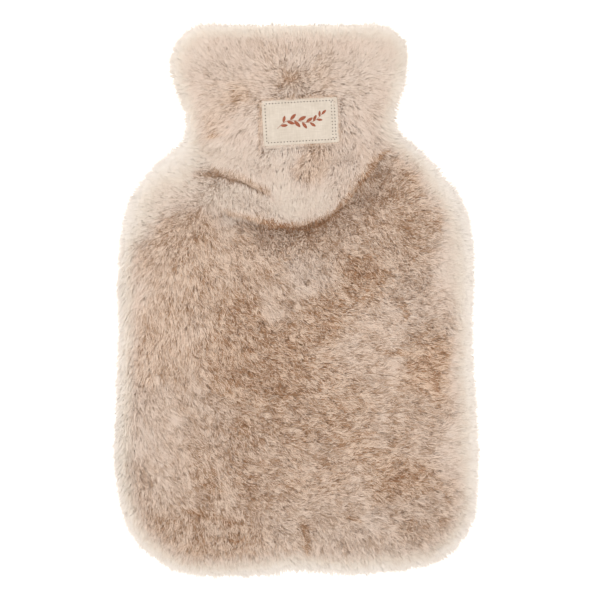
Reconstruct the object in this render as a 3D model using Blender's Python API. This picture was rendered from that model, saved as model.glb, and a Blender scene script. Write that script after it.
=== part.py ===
"""A faux fur cover for a two litre hot water bottle, lying on its back with its neck towards +Y.

The cover is a pouch of two cut pieces, a front and a back. They are sewn together all round but for
the mouth at the end of the neck, where the bottle goes in. A small fabric label is sewn to the front
of the neck. Each fur piece is one thick sheet: its inner side is the cloth backing, and its outer
side is where the tips of the pile end. The slack cloth below the neck hangs in a roll over a deep
crease.

Units are metres. The cover rests on z = 0, and the origin lies below the middle of its outline.
"""

import math
from collections import namedtuple

import bmesh
import bpy
import numpy as np
from mathutils import Matrix, Vector, noise

# Driving dimensions
BOTTOM_Y = -0.1755
MOUTH_Y = 0.1755
SEAM_Z = 0.026  # height of the plane in which the front meets the back
CENTRE_X = 0.0012  # middle of the finished outline, in the coordinates of the tables below
CENTRE_Y = -0.0017
FRONT_WALL = 0.0125  # backing and pile together, where the pile stands
BACK_WALL = 0.010  # the same at the back, where the cover's weight presses the pile
SIDE_WALL = 0.014
FIT_GAP = 0.0003  # between pieces that touch
BACK_RISE = SEAM_Z - FIT_GAP / 2  # from the back's seam down to the surface it rests on
EDGE = 0.031  # width of the rounded border, seen from above
BACK_EDGE = 0.022
CORNER = 0.050  # radius of the two bottom corners, seen from above
LIP = 0.015  # how far the ends of the mouth's rim are rounded
LIP_DROP = 0.007  # how far the front and back come in towards the mouth
CROWN = 0.006  # how much higher the middle is than the start of the border

# Widths and heights of the cover from its bottom edge to its mouth. left and right are where the
# pile ends on each side, and rise is the front's height over the seam at the border.
Section = namedtuple("Section", "y left right rise")
SECTIONS = (
    Section(-0.176, -0.108, 0.115, 0.023),
    Section(-0.128, -0.112, 0.116, 0.025),
    Section(-0.095, -0.116, 0.117, 0.026),
    Section(-0.060, -0.114, 0.115, 0.027),
    Section(-0.020, -0.113, 0.113, 0.027),
    Section(0.026, -0.113, 0.114, 0.026),
    Section(0.049, -0.110, 0.112, 0.025),
    Section(0.065, -0.105, 0.106, 0.025),
    Section(0.080, -0.095, 0.094, 0.025),
    Section(0.093, -0.081, 0.083, 0.025),
    Section(0.103, -0.071, 0.070, 0.025),
    Section(0.114, -0.069, 0.063, 0.025),
    Section(0.126, -0.072, 0.066, 0.025),
    Section(0.141, -0.078, 0.071, 0.025),
    Section(0.157, -0.079, 0.072, 0.025),
    Section(0.176, -0.074, 0.070, 0.024),
)

# The deep crease under the neck is a lopsided smile, steeper to the right, under a roll of cloth.
SMILE_X = -0.0015
SMILE_Y = 0.0486
SMILE_CURVE_LEFT = 4.1
SMILE_CURVE_RIGHT = 14.4
SMILE_LEFT_END = -0.064
SMILE_RIGHT_END = 0.062
SMILE_LEFT_FADE = 0.040  # how far in from its ends it takes to reach its full depth
SMILE_RIGHT_FADE = 0.016
SMILE_DEPTH = 0.0075
SMILE_BELOW = 0.012  # how far below the crease the body takes to come up again
SMILE_ABOVE = 0.0015  # and above it
ROLL_HEIGHT = 0.0065
ROLL_RISE = 0.003  # how far above the crease the roll takes to stand up
ROLL_LENGTH = 0.034
ROLL_OVERHANG = 0.0035
OVERHANG_AT = 0.004  # how far above the crease the roll leans out most
CREASE_BARE = 0.006  # the locks are small up to this far from the deep crease
CREASE_BARE_SHARE = 0.85
BEND_LIMIT = 0.018  # rows of the mesh follow the crease up to this far off their straight line
BEND_REACH = 0.070
BEND_FULL_TO = 0.050  # rows are bent in full up to this far from the middle
BEND_FADE = 0.045

# Lesser creases in the front: a straight valley from one end to the other
Crease = namedtuple("Crease", "x0 y0 x1 y1 depth width")
CREASES = (
    Crease(-0.066, 0.089, -0.016, 0.067, 0.0045, 0.0050),  # above the roll's left half
    Crease(-0.070, 0.103, -0.045, 0.103, 0.0030, 0.0040),  # where the neck meets the shoulder
    Crease(-0.020, 0.130, -0.019, 0.090, 0.0015, 0.0035),  # beside the label
    Crease(0.049, 0.135, 0.047, 0.112, 0.0020, 0.0050),  # right side of the neck
    Crease(-0.092, -0.140, -0.030, -0.145, 0.0025, 0.0045),  # above the bottom left corner
    Crease(0.007, -0.138, 0.010, -0.172, 0.0030, 0.0040),  # from the notch in the bottom edge
    Crease(0.074, 0.010, 0.092, -0.022, 0.0018, 0.0060),  # right of the middle
)

# Broad swellings of the front
Swelling = namedtuple("Swelling", "x y height radius")
SWELLINGS = (
    Swelling(0.000, 0.140, 0.0030, 0.026),
    Swelling(-0.075, 0.056, 0.0020, 0.020),
    Swelling(0.070, 0.052, 0.0020, 0.022),
    Swelling(-0.060, -0.158, 0.0020, 0.022),
    Swelling(0.055, -0.155, 0.0015, 0.024),
    Swelling(-0.030, -0.070, 0.0010, 0.050),
)

# Where the bottom edge runs higher (up) or lower than a straight line
Notch = namedtuple("Notch", "x up width")
NOTCHES = (
    Notch(0.004, 0.0035, 0.017),
    Notch(0.072, 0.0035, 0.026),
    Notch(-0.054, -0.0010, 0.022),
)
NOTCH_REACH = 0.035

# Locks of the pile. Points of the mesh are raised and lowered by turns.
LOCK_HEIGHT = 0.0012
LOCK_AT_SEAM = 0.0019
LOCK_AT_MOUTH = 0.25  # share of the height that is left at the rim of the mouth
LOCK_UP = 1.0
LOCK_DOWN = -0.6
LOCK_UNEVEN = 0.9
LOCK_SCATTER = 0.0011  # sideways
LOCK_GRAIN = 120.0  # of the noise that makes them uneven, per metre
LOCK_LENGTH = 0.0062  # locks on a shorter piece of the mesh are lower in proportion
HEIGHT_SEED = 3.1
SCATTER_SEED = 8.3

# Inside of the pouch
CAVITY_CORNER = 0.036
CAVITY_END = 0.020  # length over which its closed end is rounded
CAVITY_END_ANGLES = (25.0, 48.0, 70.0, 90.0)
NECK_Y = 0.114
NECK_HALF = 0.051
MOUTH_SQUEEZE = 0.002  # how far its front and back come in at the mouth

LABEL_WIDTH = 0.0485
LABEL_HEIGHT = 0.0292
LABEL_THICKNESS = 0.0011
LABEL_CORNER = 0.0012
LABEL_X = 0.0035
LABEL_Y = 0.1140
LABEL_TURN = math.radians(3.2)
LABEL_BEND_RADIUS = 0.150
LABEL_FLOOR_Z = 0.0542  # height of the pocket in the pile in which the label lies
LABEL_MARGIN = 0.0007
LABEL_STEPS = 8  # lengthwise pieces in which the label is bent
POCKET_DEPTH = 0.020

# Mesh steps
EDGE_STEPS = 5
MIDDLE_STEPS = 28
ROW_PITCH = 0.0066
FOLDED_TO_Y = 0.100  # rows are closer together from the crease up to here
FOLDED_ROW_PITCH = 0.0040
CREASE_ROWS = (-0.0110, -0.0060, -0.0025, 0.0, 0.0022, 0.0055, 0.0100)  # off the crease's line
LIP_ROWS = 4
CAVITY_ROW_PITCH = 0.018
CAVITY_MIDDLE_STEPS = 10
CAVITY_EDGE_STEPS = 3
CAVITY_OVERRUN = 0.010  # how far the cutter runs out of the mouth

FUR_COLOUR = (0.60, 0.44, 0.33, 1.0)
LABEL_COLOUR = (0.77, 0.68, 0.56, 1.0)


def clear_scene():
    for found in list(bpy.data.objects):
        bpy.data.objects.remove(found)


def new_collection(name):
    made = bpy.data.collections.new(name)
    bpy.context.scene.collection.children.link(made)
    return made


def material(name, colour, roughness):
    made = bpy.data.materials.new(name)
    made.use_nodes = True
    shader = made.node_tree.nodes["Principled BSDF"]
    shader.inputs["Base Color"].default_value = colour
    shader.inputs["Roughness"].default_value = roughness
    shader.inputs["Metallic"].default_value = 0.0
    return made


def smooth_step(value):
    value = np.clip(value, 0.0, 1.0)
    return value * value * (3.0 - 2.0 * value)


def along_sections(column, y):
    """A column of SECTIONS at any y, on a smooth curve through the rows of the table."""
    ys = np.array([section.y for section in SECTIONS])
    values = np.array([getattr(section, column) for section in SECTIONS])
    slopes = np.gradient(values, ys)
    row = np.clip(np.searchsorted(ys, y) - 1, 0, len(ys) - 2)
    span = ys[row + 1] - ys[row]
    s = np.clip((y - ys[row]) / span, 0.0, 1.0)
    return (
        values[row] * (1 + 2 * s) * (1 - s) ** 2
        + slopes[row] * span * s * (1 - s) ** 2
        + values[row + 1] * s * s * (3 - 2 * s)
        - slopes[row + 1] * span * s * s * (1 - s)
    )


def quarter_round(distance, radius):
    """How much a round corner takes off at this distance from its end."""
    left = np.clip(1.0 - distance / radius, 0.0, 1.0)
    return radius * (1.0 - np.sqrt(1.0 - left**2))


def width_at(y):
    """The middle and half width of the cover at y, if none of its corners were rounded."""
    left = along_sections("left", y)
    right = along_sections("right", y)
    return (left + right) / 2, (right - left) / 2


def outline(y):
    """The middle and half width of the cover at y."""
    middle, half = width_at(y)
    return middle, half - quarter_round(y - BOTTOM_Y, CORNER) - quarter_round(MOUTH_Y - y, LIP)


def row_positions():
    """The rows of the front and back from the bottom edge to the mouth."""
    angles = np.linspace(0.0, math.pi / 2, EDGE_STEPS + 2)
    bottom = BOTTOM_Y + EDGE * (1.0 - np.cos(angles))
    crease = SMILE_Y + np.array(CREASE_ROWS)
    lip = MOUTH_Y - LIP * (1.0 - np.sin(np.linspace(0.0, math.pi / 2, LIP_ROWS)))
    below_steps = round((crease[0] - bottom[-1]) / ROW_PITCH)
    folded_steps = round((FOLDED_TO_Y - crease[-1]) / FOLDED_ROW_PITCH)
    above_steps = round((lip[0] - FOLDED_TO_Y) / ROW_PITCH)
    below = np.linspace(bottom[-1], crease[0], below_steps + 1)[1:-1]
    folded = np.linspace(crease[-1], FOLDED_TO_Y, folded_steps + 1)[1:]
    above = np.linspace(FOLDED_TO_Y, lip[0], above_steps + 1)[1:-1]
    return np.concatenate([bottom, below, crease, folded, above, lip])


def column_positions(edge_steps, middle_steps):
    """For each column: its side, how far it is through the border, and its place in the middle.

    The border share runs from 0 at the seam to 1 where the middle starts, and the place from -1
    to 1 over the middle.
    """
    border = np.linspace(0.0, 1.0, edge_steps + 1)
    middle = np.linspace(-1.0, 1.0, middle_steps + 1)
    side = np.concatenate([-np.ones(edge_steps), np.sign(middle), np.ones(edge_steps)])
    share = np.concatenate([border[:-1], np.ones(len(middle)), border[:-1][::-1]])
    place = np.concatenate([-np.ones(edge_steps), middle, np.ones(edge_steps)])
    return side, share, place


def smile_height(x):
    """The y of the deep crease at x."""
    off = x - SMILE_X
    curve = np.where(off > 0, SMILE_CURVE_RIGHT, SMILE_CURVE_LEFT)
    return SMILE_Y + curve * off * off


def smile_strength(x):
    """How much of the deep crease and its roll there is at x."""
    from_left = smooth_step((x - SMILE_LEFT_END) / SMILE_LEFT_FADE)
    to_right = smooth_step((SMILE_RIGHT_END - x) / SMILE_RIGHT_FADE)
    return from_left * to_right


def bend_rows(x, y):
    """Moves points in y so that the mesh's rows follow the deep crease."""
    bend = np.minimum(smile_height(x) - SMILE_Y, BEND_LIMIT)
    reach = 1.0 - smooth_step(np.abs(y - SMILE_Y) / BEND_REACH)
    to_side = 1.0 - smooth_step((np.abs(x) - BEND_FULL_TO) / BEND_FADE)
    return y + bend * reach * to_side


def smile_slope(x):
    off = x - SMILE_X
    return 2 * np.where(off > 0, SMILE_CURVE_RIGHT, SMILE_CURVE_LEFT) * off


def smile_distance(x, y):
    """How far a point is above the deep crease, square to it."""
    return (y - smile_height(x)) / np.sqrt(1 + smile_slope(x) ** 2)


def smile_relief(x, y):
    """(height, shift in x, shift in y) that the deep crease and the roll over it add."""
    slope = smile_slope(x)
    length = np.sqrt(1 + slope**2)
    above = smile_distance(x, y)
    strength = smile_strength(x)
    over = np.maximum(above, 0.0)
    under = np.maximum(-above, 0.0)
    swell = ROLL_HEIGHT * (1 - np.exp(-over / ROLL_RISE)) * np.exp(-((over / ROLL_LENGTH) ** 2))
    valley = SMILE_DEPTH * np.exp(-over / SMILE_ABOVE) * np.exp(-((under / SMILE_BELOW) ** 2))
    hang = strength * ROLL_OVERHANG * np.exp(-(((above - OVERHANG_AT) / OVERHANG_AT) ** 2))
    return strength * (swell - valley), hang * slope / length, -hang / length


def crease_relief(x, y):
    height = np.zeros_like(x)
    for crease in CREASES:
        along = np.array([crease.x1 - crease.x0, crease.y1 - crease.y0])
        length = math.hypot(*along)
        along = along / length
        s = np.clip((x - crease.x0) * along[0] + (y - crease.y0) * along[1], 0.0, length)
        off = np.hypot(x - crease.x0 - s * along[0], y - crease.y0 - s * along[1])
        height -= crease.depth * np.exp(-((off / crease.width) ** 2))
    return height


def swelling_relief(x, y):
    height = np.zeros_like(x)
    for swelling in SWELLINGS:
        off = np.hypot(x - swelling.x, y - swelling.y)
        height += swelling.height * np.exp(-((off / swelling.radius) ** 2))
    return height


def bottom_notches(x, y):
    """How far the notches in the bottom edge draw a point up."""
    up = np.zeros_like(x)
    for notch in NOTCHES:
        up += notch.up * np.exp(-(((x - notch.x) / notch.width) ** 2))
    return up * (1.0 - smooth_step((y - BOTTOM_Y) / NOTCH_REACH))


def grid_normals(points):
    """Unit normals of a grid of points, facing up for rows along +Y and columns along +X."""
    along = np.gradient(points, axis=0)
    across = np.gradient(points, axis=1)
    normals = np.cross(across, along)
    return normals / np.maximum(np.linalg.norm(normals, axis=2, keepdims=True), 1e-9)


def uneven(points, seed):
    """Noise from -1 to 1 at each point."""
    offset = Vector((seed, 2.7 * seed, 0.0))
    flat = points.reshape(-1, 3) * LOCK_GRAIN
    values = [noise.noise(Vector(point) + offset) for point in flat]
    return np.array(values).reshape(points.shape[:2])


def lock_room(points):
    """How much of a full lock there is room for at each point, from its distance to the next."""
    along = np.linalg.norm(np.gradient(points, axis=0), axis=2)
    across = np.linalg.norm(np.gradient(points, axis=1), axis=2)
    return np.clip(np.minimum(along, across) / LOCK_LENGTH, 0.0, 1.0)


def add_locks(points, outward, amount):
    """Raises every other point along outward and lowers the rest, unevenly, as locks of pile."""
    rows, columns = points.shape[:2]
    odd = (np.arange(rows)[:, None] + np.arange(columns)[None, :]) % 2
    height = np.where(odd, LOCK_UP, LOCK_DOWN) + LOCK_UNEVEN * uneven(points, HEIGHT_SEED)
    return points + outward * (amount * lock_room(points) * height)[:, :, None]


def panel_grid(edge, rise_of, crown, relief):
    """Points of one fur piece's outer side, a row for each section and a column from left to right.

    rise_of gives the height over the seam at the border for a y, and relief adds to a grid of
    points. The height is positive here for the back too.
    """
    side, share, place = column_positions(EDGE_STEPS, MIDDLE_STEPS)
    row_y = row_positions()
    angle = share * math.pi / 2
    first_y = np.repeat(row_y[:, None], len(side), 1)
    middle, half = outline(first_y)
    straight_x = middle + place * (half - edge)
    y = bend_rows(straight_x, first_y) if relief else first_y
    middle, half = outline(y)
    x = middle + np.where(share < 1, side * (half - edge * (1 - np.cos(angle))), place * (half - edge))
    end_share = np.clip((y - BOTTOM_Y) / EDGE, 0.0, 1.0)
    end_rise = np.sqrt(1.0 - (1.0 - end_share) ** 2)
    border_rise = np.sin(angle) * end_rise
    to_mouth = quarter_round(MOUTH_Y - y, LIP) / LIP * LIP_DROP
    swell = crown * np.cos(place * math.pi / 2) ** 2 * end_rise * (share == 1)
    height = border_rise * (rise_of(y) - to_mouth) + swell
    points = np.stack([x, y + bottom_notches(x, y), height], 2)
    if relief:
        over, shift_x, shift_y = smile_relief(x, y)
        fade = border_rise**2 * smooth_step((MOUTH_Y - y) / LIP)
        points[:, :, 0] += shift_x * fade
        points[:, :, 1] += shift_y * fade
        points[:, :, 2] += fade * (over + crease_relief(x, y) + swelling_relief(x, y))
    return points, border_rise


def front_points():
    points, border_rise = panel_grid(EDGE, lambda y: along_sections("rise", y), CROWN, True)
    outward = grid_normals(points)
    at_seam = border_rise < 1e-6
    outward[at_seam, 2] = 0.0
    amount = LOCK_HEIGHT + (LOCK_AT_SEAM - LOCK_HEIGHT) * (1.0 - border_rise)
    amount = amount * np.clip((MOUTH_Y - points[:, :, 1]) / LIP, LOCK_AT_MOUTH, 1.0)
    x, y = points[:, :, 0], points[:, :, 1]
    in_crease = smile_strength(x) * np.exp(-((smile_distance(x, y) / CREASE_BARE) ** 2))
    amount = amount * (1.0 - CREASE_BARE_SHARE * in_crease)
    locks = add_locks(points, outward, amount)
    locks[at_seam, 2] = 0.0
    locks[-1, :, 1] = MOUTH_Y
    inside = ~at_seam
    inside[-1] = False
    scatter = LOCK_SCATTER * lock_room(points) * uneven(points, SCATTER_SEED)
    locks[:, :, 0] += np.where(inside, scatter, 0.0)
    locks[:, :, 2] = np.maximum(locks[:, :, 2], 0.0)
    return locks


def back_points():
    """The back's outer side, as heights over the seam as if it faced up. It is flat where it rests."""
    points, border_rise = panel_grid(BACK_EDGE, lambda y: np.full_like(y, BACK_RISE), 0.0, False)
    outward = grid_normals(points)
    at_seam = border_rise < 1e-6
    outward[at_seam, 2] = 0.0
    amount = LOCK_AT_SEAM * (1.0 - border_rise)
    locks = add_locks(points, outward, amount)
    locks[at_seam, 2] = 0.0
    locks[points[:, :, 2] > BACK_RISE - 1e-6, 2] = BACK_RISE
    locks[-1, :, 1] = MOUTH_Y
    locks[:, :, 2] = np.clip(locks[:, :, 2], 0.0, BACK_RISE)
    return locks


def finish_mesh(made, name, collection, slot):
    """Makes an object of a mesh whose faces close round a solid, with quads cut into triangles."""
    bmesh.ops.recalc_face_normals(made, faces=made.faces)
    quads = [face for face in made.faces if len(face.verts) == 4]
    bmesh.ops.triangulate(made, faces=quads, quad_method="SHORT_EDGE")
    mesh = bpy.data.meshes.new(name)
    made.to_mesh(mesh)
    made.free()
    mesh.shade_smooth()
    if slot:
        mesh.materials.append(slot)
    solid = bpy.data.objects.new(name, mesh)
    collection.objects.link(solid)
    return solid


def add_strip(made, first, second):
    """Quads between two rows of points."""
    for left in range(len(first) - 1):
        made.faces.new((first[left], first[left + 1], second[left + 1], second[left]))


def half_pouch(points, seam_z, up, name, collection, slot):
    """A solid between one outer side and the seam's plane. up is 1 for the front, -1 for the back."""
    made = bmesh.new()
    rows = []
    for row in points:
        rows.append([made.verts.new((x, y, seam_z + up * height)) for x, y, height in row])
    for first, second in zip(rows, rows[1:]):
        add_strip(made, first, second)
    left_side = [row[0] for row in reversed(rows)]
    right_side = [row[-1] for row in rows]
    made.faces.new(left_side + rows[0][1:-1] + right_side)
    made.faces.new(rows[-1])
    return finish_mesh(made, name, collection, slot)


def cavity_ring(y):
    """Points round the inside of the pouch at y, over the top from left to right and back below."""
    side, share, place = column_positions(CAVITY_EDGE_STEPS, CAVITY_MIDDLE_STEPS)
    start = BOTTOM_Y + SIDE_WALL
    middle, half = width_at(min(y, MOUTH_Y))
    half = half - SIDE_WALL - quarter_round(y - start, CAVITY_CORNER)
    if y > NECK_Y:
        half = min(half, NECK_HALF)
    end_share = min((y - start) / CAVITY_END, 1.0)
    end_rise = math.sqrt(1.0 - (1.0 - end_share) ** 2)
    squeeze = quarter_round(max(MOUTH_Y - y, 0.0), LIP) / LIP * MOUTH_SQUEEZE
    front = along_sections("rise", min(y, MOUTH_Y)) - FRONT_WALL - squeeze
    back = SEAM_Z - BACK_WALL - squeeze
    angle = share * math.pi / 2
    rounded = half - front * (1 - np.cos(angle))
    x = middle + np.where(share < 1, side * rounded, place * (half - front))
    height = front * np.sin(angle) * end_rise
    height = height + CROWN * np.cos(place * math.pi / 2) ** 2 * end_rise * (share == 1)
    depth = back * np.sin(angle) * end_rise
    over = [(px, y, SEAM_Z + pz) for px, pz in zip(x, height)]
    under = [(px, y, SEAM_Z - pz) for px, pz in zip(x, depth)]
    return over + under[-2:0:-1]


def cavity_cutter(collection):
    """The inside of the pouch, run out of the mouth."""
    start = BOTTOM_Y + SIDE_WALL
    end_ys = [start + CAVITY_END * (1 - math.cos(math.radians(a))) for a in CAVITY_END_ANGLES]
    stop = MOUTH_Y + CAVITY_OVERRUN
    steps = round((stop - end_ys[-1]) / CAVITY_ROW_PITCH)
    ys = end_ys[:-1] + list(np.linspace(end_ys[-1], stop, steps + 1))
    made = bmesh.new()
    rings = [[made.verts.new(point) for point in cavity_ring(y)] for y in ys]
    for first, second in zip(rings, rings[1:]):
        add_strip(made, first + first[:1], second + second[:1])
    made.faces.new(rings[0])
    made.faces.new(rings[-1])
    return finish_mesh(made, "cavity_cutter", collection, None)


def label_block(width, height, low, high, name, collection, slot):
    """A block with the label's bend and turn, from low to high over the label's underside."""
    made = bmesh.new()
    bmesh.ops.create_cube(made, size=1.0)
    for vert in made.verts:
        vert.co = Vector((vert.co.x * width, vert.co.y * height, low if vert.co.z < 0 else high))
    upright = [edge for edge in made.edges if abs(edge.verts[0].co.z - edge.verts[1].co.z) > 1e-6]
    bmesh.ops.bevel(
        made, geom=upright, offset=LABEL_CORNER, segments=2, affect="EDGES", profile=0.5
    )
    straight = width / 2 - 1.5 * LABEL_CORNER
    for along in np.linspace(-straight, straight, LABEL_STEPS + 1)[1:-1]:
        geometry = made.verts[:] + made.edges[:] + made.faces[:]
        bmesh.ops.bisect_plane(
            made, geom=geometry, dist=1e-6, plane_co=(along, 0, 0), plane_no=(1, 0, 0)
        )
    for vert in made.verts:
        vert.co.z -= vert.co.x**2 / (2 * LABEL_BEND_RADIUS)
    place = Matrix.Translation((LABEL_X, LABEL_Y, LABEL_FLOOR_Z + FIT_GAP))
    made.transform(place @ Matrix.Rotation(LABEL_TURN, 4, "Z"))
    return finish_mesh(made, name, collection, slot)


def cut(target, cutter):
    """Takes the cutter's volume out of the target."""
    modifier = target.modifiers.new(cutter.name, "BOOLEAN")
    modifier.operation = "DIFFERENCE"
    modifier.solver = "EXACT"
    modifier.object = cutter


def build():
    clear_scene()
    cover = new_collection("hot_water_bottle_cover")
    cutters = new_collection("cutters")
    fur = material("fur", FUR_COLOUR, 0.95)
    label_cloth = material("label_cloth", LABEL_COLOUR, 0.85)

    front = half_pouch(front_points(), SEAM_Z + FIT_GAP / 2, 1, "front_panel", cover, fur)
    back = half_pouch(back_points(), SEAM_Z - FIT_GAP / 2, -1, "back_panel", cover, fur)
    label_block(LABEL_WIDTH, LABEL_HEIGHT, 0.0, LABEL_THICKNESS, "label", cover, label_cloth)

    inside = cavity_cutter(cutters)
    pocket = label_block(
        LABEL_WIDTH + 2 * LABEL_MARGIN,
        LABEL_HEIGHT + 2 * LABEL_MARGIN,
        -FIT_GAP,
        POCKET_DEPTH,
        "label_pocket_cutter",
        cutters,
        None,
    )
    for cutter in (inside, pocket):
        cutter.hide_render = True
        cutter.display_type = "WIRE"
        cut(front, cutter)
    cut(back, inside)
    for made in list(cover.objects) + list(cutters.objects):
        made.location = (-CENTRE_X, -CENTRE_Y, 0.0)


build()
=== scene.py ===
"""The looks of a faux fur hot water bottle cover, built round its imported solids.

Each fur solid is replaced by a cloth backing and by the pile that stands on it. The pile is a mesh of
tapered blades. They are rooted in the backing, end where the solid ends, lie the way the table of
strokes combs them, and gather into locks and tufts. The label is woven cloth with a turned hem, a row
of stitches and a sprig of leaves in thread.
"""

import math

import bmesh
import bpy
import numpy as np
from mathutils import Matrix, Vector, kdtree, noise
from mathutils.bvhtree import BVHTree


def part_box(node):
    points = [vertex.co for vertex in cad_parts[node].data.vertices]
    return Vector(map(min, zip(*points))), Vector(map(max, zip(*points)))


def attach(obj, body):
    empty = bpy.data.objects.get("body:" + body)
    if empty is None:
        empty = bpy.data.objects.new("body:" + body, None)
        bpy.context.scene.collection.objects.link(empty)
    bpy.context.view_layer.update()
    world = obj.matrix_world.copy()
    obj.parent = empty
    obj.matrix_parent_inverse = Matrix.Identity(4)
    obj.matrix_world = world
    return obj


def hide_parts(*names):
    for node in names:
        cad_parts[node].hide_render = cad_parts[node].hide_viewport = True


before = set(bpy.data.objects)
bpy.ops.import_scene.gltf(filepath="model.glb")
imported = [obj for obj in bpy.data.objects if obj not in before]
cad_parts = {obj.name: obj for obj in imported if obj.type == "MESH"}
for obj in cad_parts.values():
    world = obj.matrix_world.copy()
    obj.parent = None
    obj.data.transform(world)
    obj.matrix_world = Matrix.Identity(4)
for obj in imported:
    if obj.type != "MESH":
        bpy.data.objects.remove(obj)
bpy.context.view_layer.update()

SEED = 11
MM = 0.001

# Some values are pairs: the value in smooth pile (ruffle 0), and how much more it is at ruffle 1.

# Single blades
BLADES_FRONT, BLADES_BACK, MOST_IN_PIECE = 345000, 85000, 95000
PILE_DEPTH = 4.6 * MM  # from the tips down to the backing
ROOT_DEPTH = (0.85, 1.0)  # of that, from least to most
LOWEST = 0.25 * MM
LIE_LENGTH = 9.0 * MM  # how far over a blade of full lie reaches
LENGTH_SPREAD, LIE_SPREAD, TIP_SPREAD = 0.2, 0.2, 0.35 * MM
APART_LEAST = 0.5  # how much of that spread there is in smooth pile
MIDDLE_AT, MIDDLE_RISE = 0.45, 0.22 * PILE_DEPTH  # where a blade is widest, and how far it arches
BLADE_WIDTH = 0.36 * MM
WIDTH_SPREAD = (0.7, 1.25)  # of that, from least to most
SMOOTH_WIDER = 0.45
TILT_SPREAD, TWIST_SPREAD = 0.25, 0.35
SOFT_NORMAL = 0.8  # how far a blade is shaded like the skin under it
RUFFLED_LESS = 0.6
STEEP_FROM, STEEP_TO = 0.05, 0.3  # how far out it faces, for none and for all of that
SMOOTH_LIFT = 0.32  # how much paler a blade's roots are in smooth pile: partly the pile's own colour, partly painted light lifting the shade between blades
BLADE_SHADE = (0.02, 0.47)

# Locks, and the tufts that they gather into
LOCK_AREA = 2.2e-6  # square metres of surface to a lock
LOCK_PULL = (0.16, 0.64)
PULL_LEAST = 0.5
LOCK_HEIGHT = 0.5 * MM
LOCK_RISE, LOCK_LIE, LOCK_SHADE = (0.2, 1), (1.15, -0.6), (0.02, 0.33)
LOCK_SWIRL = (3, 14)  # degrees
# Painted shade: a lock that stands lower among its neighbours is painted darker, a higher one paler.
RISE_PAINTED_SHADE = 0.1
SEEN_AT = 0.7  # how far out along a lock its colour is seen
STIR_TONE, STIR_RUFFLE = 0.12, 0.65
RUFFLE_MOST = 1.4
TUFT_AREA = 14e-6
TUFT_STRETCH = 3.0
TUFT_CHOICE = 9  # how many tufts a lock chooses from
TUFT_PULL, TUFT_SHADE, TUFT_HEIGHT = 0.42, 0.165, 0.35 * MM
TUFT_LEAST = 0.25  # how much of that is left in smooth pile

# Slow changes over the pile: the size of their bumps, their seed and their strength, a pair
STIR_WAVES = ((13 * MM, 10, (0.5, 0)), (5 * MM, 11, (0.8, 0)))
SWIRL_WAVES = ((16 * MM, 1, (26, 0)), (7 * MM, 2, (12, 45)))  # degrees
LIE_WAVES = ((9 * MM, 3, (0.35, 0)),)
RISE_WAVES = ((7 * MM, 4, (1.2, 0)),)
TONE_WAVES = ((16 * MM, 5, (0.015, 0.1)),)
SHADE_WAVES = ((4 * MM, 6, (0.05, 0.06)),)
WISP_WAVES = ((12 * MM, 8, (1.5 * MM, 0)), (4 * MM, 9, (1.5 * MM, 0)))

# The cover's sides
SIDE_FROM, SIDE_TO = -0.88, -0.1  # minus the normal's height, for none and for all of a side
SIDE_TOP, SIDE_TOP_FADE = 50 * MM, 8 * MM  # above this there is no side
SIDE_SPREAD, SIDE_DROP = 0.7, 0.6  # how much its pile leans out and hangs down
SIDE_SHORTER, SIDE_NARROWER = 0.4, 0.2
SIDE_CALM = 0.5  # how much less it gathers
WISP_LENGTH, WISP_MOST = 2.2 * MM, 6.5 * MM  # how far single blades stand out
WISP_START = 2.2 * MM  # how far inside the outline the shortest of them end

# The pile round the label
LABEL_FLUFF, FLUFF_LEAST = 0.9 * MM, 0.2  # how much it rises over the label's edge
LABEL_MARGIN = 3.0 * MM  # how far from that edge
LABEL_OVERLAP = 1.2 * MM  # how far in over the label it reaches
LABEL_CLEAR = 1.0 * MM  # how far out the blades under the label come from under it
LABEL_DIP = 15 * MM  # how far round the label its stitching draws the pile down
LEANING_SHARE, LEANING = 0.6, 0.55  # how many blades beside the label lean over it, and how far

# The skin, which is the solids' outer side
AXIS_LEAST, AXIS_MOST = (-35 * MM, -120 * MM), (35 * MM, 100 * MM)  # a strip inside the pouch
OUTER_LEAST = 0.1 * MM  # how far its faces point away from the inside
ROOTED_LEAST = 0.5 * MM  # and those that bear pile
SKIN_PASSES, SKIN_STEPS = 8, (0.5, -0.52)  # of smoothing, against the solid's own coarse locks
FOLD_EDGE = 2.3 * MM  # the solid's edges are this short in a fold, which isn't smoothed
COARSE_EDGE = FOLD_EDGE + 2 * MM
BED_PASSES, BED_MARGIN = 80, 2.0 * MM  # of smoothing, which fills the label's bed
BACKING_START = 2.5 * MM  # how far down the search for the inner side starts
BACKING_SHARE = 0.7  # how far down to it the backing lies at most

# In the tables below, lengths are in mm, and places from the middle of the cover, seen from the front.

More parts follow.
